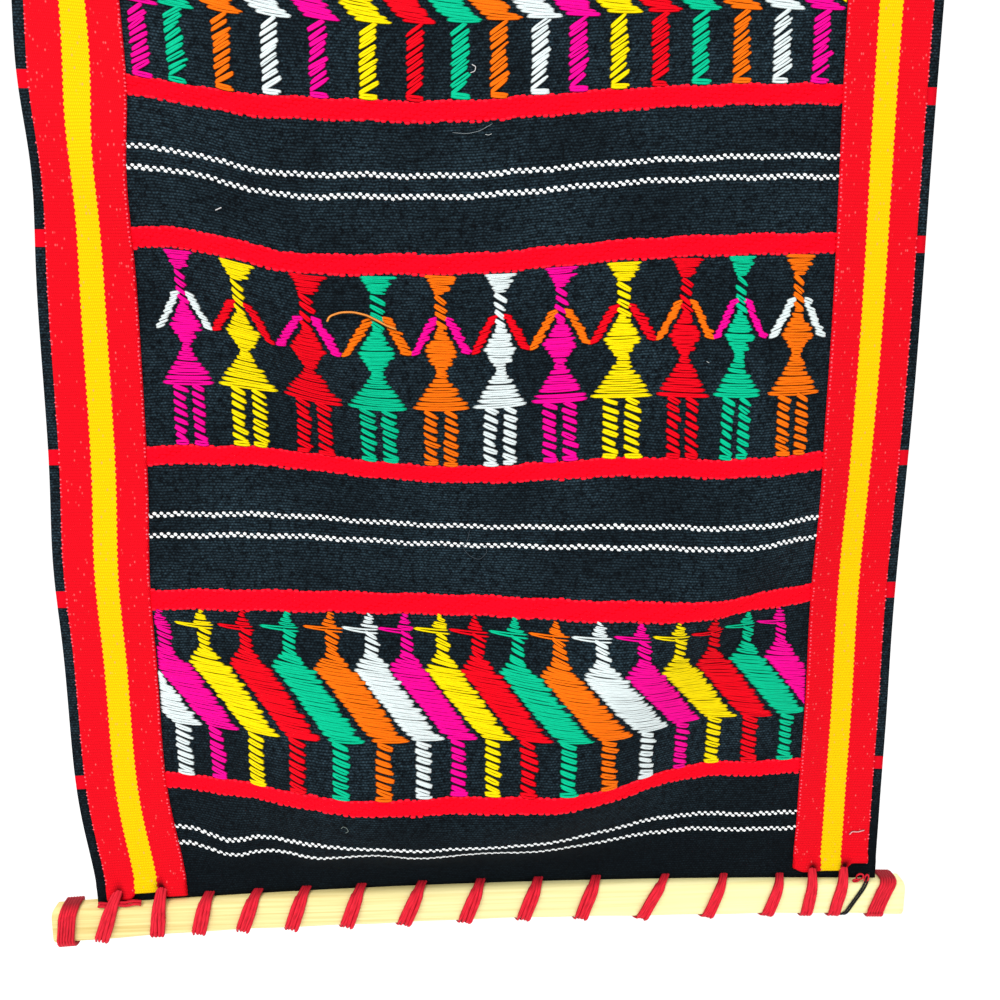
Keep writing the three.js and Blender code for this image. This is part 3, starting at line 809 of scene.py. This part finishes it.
# Bare sanded softwood: creamy and slightly dull, with fine straight grain, a little darker at the left.
bare_wood, tree = new_finish("bare_sanded_softwood")
place = add(tree, "ShaderNodeTexCoord")
along_grain = add(tree, "ShaderNodeMapping", {"Vector": place.outputs["Object"], "Scale": (12, 300, 900)})
grain = add(tree, "ShaderNodeTexNoise", {"Vector": along_grain, "Scale": 1, "Detail": 5, "Roughness": 0.6})
grain_share = add(tree, "ShaderNodeMapRange", {"Value": grain, 1: 0.35, 2: 0.75})
rod_axes = add(tree, "ShaderNodeSeparateXYZ", {0: place.outputs["Object"]})
rightward = add(tree, "ShaderNodeMapRange", {"Value": rod_axes.outputs["X"], 1: -0.15, 2: 0.1})
clear_wood = add(
    tree, "ShaderNodeMix", {0: rightward, 6: linear("#f2e09a"), 7: linear("#f4efb4")}, data_type="RGBA"
)
grain_wood = add(
    tree, "ShaderNodeMix", {0: rightward, 6: linear("#cdb061"), 7: linear("#e6dc98")}, data_type="RGBA"
)
wood = add(tree, "ShaderNodeMix", {
    0: grain_share, 6: clear_wood.outputs[2], 7: grain_wood.outputs[2],
}, data_type="RGBA")
bump = add(tree, "ShaderNodeBump", {"Height": grain, "Strength": 0.3, "Distance": 0.0003})
surface(tree, {
    "Base Color": wood.outputs[2], "Normal": bump, "Roughness": 0.6, "Specular IOR Level": 0.3,
})

outline = rod_outline(0)
rod_end = rod_length / 2
stations = np.concatenate([[-rod_end], np.linspace(-rod_end + 0.5, rod_end - 0.5, 121), [rod_end]])
points = []
for x in stations:
    shrink = 0.92 if abs(x) == rod_end else 1  # the ends are slightly chamfered
    low = np.where(outline[:, 1] < 0, rod_wear(x), 0.0)
    ring = np.stack([
        np.full(len(outline), x), outline[:, 0] * shrink, rod_axis(x) + outline[:, 1] * shrink + low,
    ], axis=-1)
    points.append(ring)
around = len(outline)
faces = []
for i in range(len(stations) - 1):
    for j in range(around):
        k = (j + 1) % around
        faces.append((i * around + j, i * around + k, (i + 1) * around + k, (i + 1) * around + j))
faces.append(tuple(range(around))[::-1])
faces.append(tuple((len(stations) - 1) * around + j for j in range(around)))
rod_mesh = bpy.data.meshes.new("wooden_rod")
rod_mesh.from_pydata(np.concatenate(points) / 1000, [], faces)
rod_mesh.shade_smooth()
rod_mesh.materials.append(bare_wood)
belongs(put_up("wooden_rod", rod_mesh), "pale_wood", "rod")


# The lashing is one soft red wool yarn, laid four strands flat. It leaves a hole in the hem, crosses the
# rod's front, turns under it and comes up the back to the next hole on the left.
lashings = [  # across of the hole, its height above the lower edge, across of the foot under the rod
    (-159.5, 6.5, -162.5), (-142, 6.5, -138.5), (-122.5, 1.8, -122), (-99.8, 1.8, -104.5),
    (-77, 1.8, -84.5), (-53, 1.8, -61.5), (-27.5, 1.8, -37.5), (-3, 1.8, -11.5), (21.5, 1.8, 13.5),
    (46.5, 1.8, 38), (77, 1.8, 63.5), (102.5, 1.8, 92.5), (127, 1.8, 119), (140.5, 5.5, 137),
    (154.5, 6, 149),
]
clear = 0.85  # from the rod's faces to the middles of the strands
under = 0.4  # and the same below the rod, where they are pressed flat
strand_pitch = 1.42
strand_radius = 0.94

# Dyed wool yarn: a soft red with fuzzy strands, with painted shade in the furrows between them.
wool, tree = new_finish("red_wool_yarn")
along = add(tree, "ShaderNodeAttribute", attribute_name="along")
around_yarn = add(tree, "ShaderNodeAttribute", attribute_name="around")
strand_place = add(tree, "ShaderNodeCombineXYZ", {0: along.outputs["Fac"], 1: around_yarn.outputs["Fac"]})
twist = add(tree, "ShaderNodeMapping", {"Vector": strand_place, "Scale": (0.16, 8, 1)})
fibre = add(tree, "ShaderNodeTexNoise", {"Vector": twist, "Scale": 1.5, "Detail": 4})
fibre_share = add(tree, "ShaderNodeMapRange", {"Value": fibre, 1: 0.3, 2: 0.75})
lively_red = add(
    tree, "ShaderNodeMix", {0: fibre_share, 6: linear("#b4001a"), 7: linear("#fb1f3a")}, data_type="RGBA"
)
# Painted shade: each strand darkens where it turns away from the rod's front and back.
crown = add(tree, "ShaderNodeAttribute", attribute_name="crown")
open_light = add(tree, "ShaderNodeMapRange", {"Value": crown.outputs["Fac"], 1: 0, 2: 0.8, 3: 0.35, 4: 1})
red = add(tree, "ShaderNodeVectorMath", {0: lively_red.outputs[2], "Scale": open_light}, operation="SCALE")
bump = add(tree, "ShaderNodeBump", {"Height": fibre, "Strength": 0.7, "Distance": 0.0003})
surface(tree, {"Base Color": red, "Normal": bump, "Roughness": 0.7, "Specular IOR Level": 0.25})


def bend(start, control, end, count=7):
    """Points of a quadratic curve, without its first."""
    share = np.linspace(0, 1, count + 1)[1:, None]
    start, control, end = np.array(start), np.array(control), np.array(end)
    return (1 - share) ** 2 * start + 2 * share * (1 - share) * control + share ** 2 * end


def straight(start, end, count=8):
    share = np.linspace(0, 1, count + 1)[1:, None]
    return np.array(start) * (1 - share) + np.array(end) * share


def front_face(across, down):
    """The distance from the cloth's middle to its bare front, or to a ribbon's front."""
    covered = ribbon_inner < abs(across) < ribbon_outer and down < ribbon_end
    face = ribbon_front if covered else half_thickness
    return float(face(np.array([float(across)]), np.array([float(down)]))[0])


def over_rod(hole, above, clear, under):
    """The yarn's way in depth and height, measured from the rod's axis, and its start in the cloth."""
    down = cloth_length - above
    start = drape(np.array([[hole, -down, front_face(hole, down) - 1.2]]))[0] * 1000
    front = -(rod_depth / 2 + clear)
    half = rod_height / 2
    high = start[2] - rod_axis(start[0])
    turn = min(high - 1, half + 1.6)
    way = [np.array([[start[1], high]])]
    way.append(bend(way[-1][-1], (front, turn), (front, half - rod_round - 1)))
    way.append(straight(way[-1][-1], (front, rod_round - half)))
    way.append(bend(way[-1][-1], (front, -half - under), (rod_round - rod_depth / 2, -half - under)))
    return start, np.concatenate(way)


def in_space(way, across):
    """Depths and heights along a way, with its places across, as points in millimetres."""
    worn = rod_wear(across) * ease(-way[:, 1], 0, rod_height / 2)
    return np.stack([across, way[:, 0], rod_axis(across) + way[:, 1] + worn], axis=-1)


def run_of(way):
    run = np.concatenate([[0], np.cumsum(np.linalg.norm(np.diff(way, axis=0), axis=1))])
    return run / run[-1]


wool_hand = np.random.default_rng(5)
for number, (hole, above, foot) in enumerate(lashings):
    next_hole, next_above = (hole - 6, above) if number == 0 else lashings[number - 1][:2]
    breadth = 1 if number < 10 else 0.78  # the right-hand lashings are drawn tighter
    start, front_way = over_rod(hole, above, clear, under)
    next_down = cloth_length - next_above
    end = drape(np.array([[next_hole, -next_down, -half_thickness(next_hole, next_down) + 0.3]]))[0] * 1000
    back = rod_depth / 2 + clear
    half = rod_height / 2
    back_way = [straight(front_way[-1], (rod_depth / 2 - rod_round, -half - under), 3)]
    back_way.append(bend(back_way[-1][-1], (back, -half - under), (back, rod_round - half)))
    back_way.append(straight(back_way[-1][-1], (back, half - rod_round - 1)))
    back_way.append(bend(back_way[-1][-1], (back, half + 1.6), (end[1], end[2] - rod_axis(end[0]))))
    back_way = np.concatenate(back_way)
    way = np.concatenate([front_way, back_way])
    across = np.concatenate([
        start[0] + (foot - start[0]) * run_of(front_way),
        foot + (end[0] - foot) * run_of(np.concatenate([front_way[-1:], back_way]))[1:],
    ])
    middle_line = in_space(way, across)
    share = np.linspace(0, 1, len(way))
    spread = breadth * (0.7 + 0.3 * ease(share, 0, 0.2))
    lean = np.array([foot - start[0], -(rod_height + above)])
    lean /= np.hypot(foot - start[0], rod_height + above)
    strands = []
    for strand in range(4):
        beside = (strand - 1.5) * strand_pitch * spread + 0.15 * np.sin(share * 9 + strand * 2 + number)
        ahead = 0.18 * np.sin(share * 14 + strand * 1.7 + number)
        line = middle_line.copy()
        line[:, 0] += beside * -lean[1]
        line[:, 2] += beside * lean[0] * np.where(np.abs(way[:, 0]) > rod_depth / 2, 1, 0)
        line[:, 1] += ahead * np.sign(way[:, 0])
        halves = (strand_radius + wool_hand.normal(0, 0.05)) * (0.75 + 0.25 * ease(share, 0, 0.12))
        halves = halves * (1 - 0.55 * ease(-way[:, 1], half - 2, half))
        strands.append((line, halves, dyes["red"]))
    node = f"lashing_{number + 1:02d}"
    belongs(lay_yarn(f"yarn_{node}", strands, wool, sides=8, on_cloth=False), "red_yarn", node)


# The yarn between the two leftmost holes lies slack on the rod's top, and small loops of it stand out where
# the right ribbon's torn corner meets the rod.
slack = []
for low, ahead in ((0.5, -4.3), (1.5, -3.6)):
    x = np.linspace(-162, -144.5, 12)
    heights = rod_axis(x) + rod_height / 2 + low + 0.3 * np.sin(x * 0.9 + ahead)
    slack.append((np.stack([x, np.full(12, ahead), heights], axis=-1), np.full(12, 0.6), dyes["red"]))
turns = np.linspace(0, 2 * pi, 13)
for x, up, wide, tall in ((160.5, 2.6, 1.6, 1.6), (163.5, 1.8, 0.9, 2.1), (158.8, 0.8, 1.3, 0.8)):
    height = rod_axis(x) + rod_height / 2 + up
    loop = np.stack([
        x + wide * np.cos(turns), -4.4 - 0.5 * np.sin(turns), height + tall * np.sin(turns),
    ], axis=-1)
    slack.append((loop, np.full(13, 0.38), dyes["red"]))
belongs(lay_yarn("slack_red_yarn", slack, wool, on_cloth=False), "red_yarn")


# Past the cloth's corners the same yarn is wound six times round each end of the rod, at a slant.
turns = 6
whipping_breadth = 7.0
outline = rod_outline(0.95, 5)
count = len(outline)
steps = np.arange(turns * count + 1)
ring = outline[steps % count]
for side, slant, node in ((-1, -2, "whipping_left"), (1, -5.5, "whipping_right")):
    middle = side * (rod_end - 7.5)
    lean = slant * np.minimum(1, 1 - ring[:, 1] / (rod_height / 2))
    x = middle + lean + (steps / (turns * count) - 0.5) * whipping_breadth
    line = np.stack([x, ring[:, 0], rod_axis(x) + ring[:, 1]], axis=-1)
    wound = [(line, np.full(len(line), 0.74), dyes["red"])]
    belongs(lay_yarn(f"yarn_{node}", wound, wool, sides=8, on_cloth=False), "red_yarn", node)


# A two-ply black sewing thread crosses the rod's right end, from the ribbon's corner to the last lashing.
# Waxed cotton thread: nearly black, with a painted glint in lighter bands along its twist.
glazed_thread, tree = new_finish("black_glazed_thread")
along = add(tree, "ShaderNodeAttribute", attribute_name="along")
# Painted glint: lighter bands follow the thread's twist.
twist = add(tree, "ShaderNodeTexWave", {"Vector": along.outputs["Vector"], "Scale": 0.4})
black = add(tree, "ShaderNodeMix", {0: twist, 6: linear("#050507"), 7: linear("#18191c")}, data_type="RGBA")
surface(tree, {"Base Color": black.outputs[2], "Roughness": 0.45, "Specular IOR Level": 0.2})
start, way = over_rod(167, 2.5, 0.5, 0.3)
across = start[0] + (152.5 - start[0]) * run_of(way)
plies = []
for ply in (-1, 1):
    line = in_space(way, across)
    line[:, 0] += ply * 0.62 * ease(run_of(way), 0, 0.25)
    plies.append((line, np.full(len(line), 0.4), linear("#0c0d10")))
thread = lay_yarn("black_thread", plies, glazed_thread, sides=8, on_cloth=False)
belongs(thread, "black_thread", "thread_tail")
